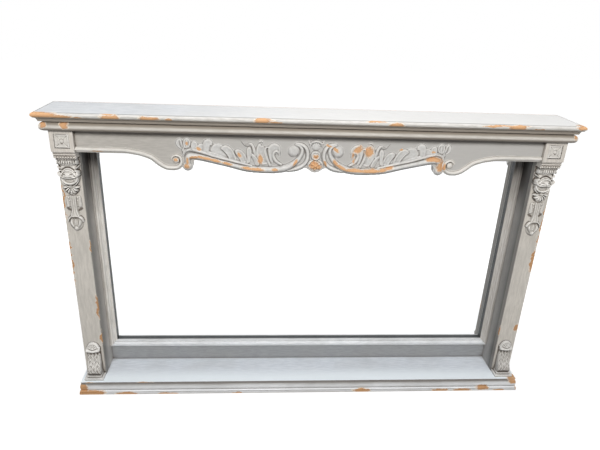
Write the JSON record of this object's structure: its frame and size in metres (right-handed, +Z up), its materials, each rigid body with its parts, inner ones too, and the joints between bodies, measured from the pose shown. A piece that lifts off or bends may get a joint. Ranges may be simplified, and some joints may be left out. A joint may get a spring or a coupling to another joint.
{
  "type": "wooden overmantel mirror",
  "caption": "Wide painted overmantel mirror: boxed pilasters on a moulded shelf base carry a carved serpentine frieze and moulded crown over a framed glass.",
  "frame": {"origin": "under the middle of the overall box, on the ground that the base stands on", "axes": "+X to the right of a person facing the mirror, +Y from the front to the back, +Z up"},
  "size_m": [1.6, 0.174, 0.986],
  "materials": {
    "crown_board": "worn satin paint",
    "crown_moulding": "worn satin paint",
    "frieze": "worn satin paint",
    "carving": "worn satin paint with dark glaze in the hollows",
    "pilaster": "worn satin paint",
    "mirror_frame": "worn satin paint",
    "back_panel": "worn satin paint",
    "shelf": "worn satin paint",
    "base": "worn satin paint",
    "bare_wood": "unfinished wood",
    "mirror_glass": "silvered glass",
    "screws": "plain steel"
  },
  "bodies": {
    "root": {"crown_board": "crown_board", "crown_moulding_front": "crown_moulding", "crown_return_left": "crown_moulding", "crown_return_right": "crown_moulding", "frieze_board": "frieze", "apron_bead_left": "carving", "apron_bead_right": "carving", "apron_carving_left": "carving", "apron_carving_right": "carving", "apron_cartouche": "carving", "head_block_left": "frieze", "head_block_right": "frieze", "rosette_left": "carving", "rosette_right": "carving", "necking_left": "carving", "necking_right": "carving", "pilaster_drop_left": "carving", "pilaster_drop_right": "carving", "pilaster_front_left": "pilaster", "pilaster_front_right": "pilaster", "pilaster_reveal_left": "pilaster", "pilaster_reveal_right": "pilaster", "pilaster_side_left": "pilaster", "pilaster_side_right": "pilaster", "foot_corbel_left": "carving", "foot_corbel_right": "carving", "plinth_left": "base", "plinth_right": "base", "mirror_frame_top": "mirror_frame", "mirror_frame_bottom": "mirror_frame", "mirror_stile_left": "mirror_frame", "mirror_stile_right": "mirror_frame", "mirror_glass": "mirror_glass", "backing_board": "bare_wood", "backing_battens": "bare_wood", "lower_back_panel": "back_panel", "upper_back_panel": "back_panel", "shelf_board": "shelf", "base_moulding_front": "base", "base_return_left": "base", "base_return_right": "base", "base_back_rail": "bare_wood", "crown_glue_blocks": "bare_wood", "base_glue_blocks": "bare_wood", "pilaster_glue_blocks": "bare_wood", "panel_screws": "screws", "shelf_screws": "screws"}
  },
  "joints": []
}
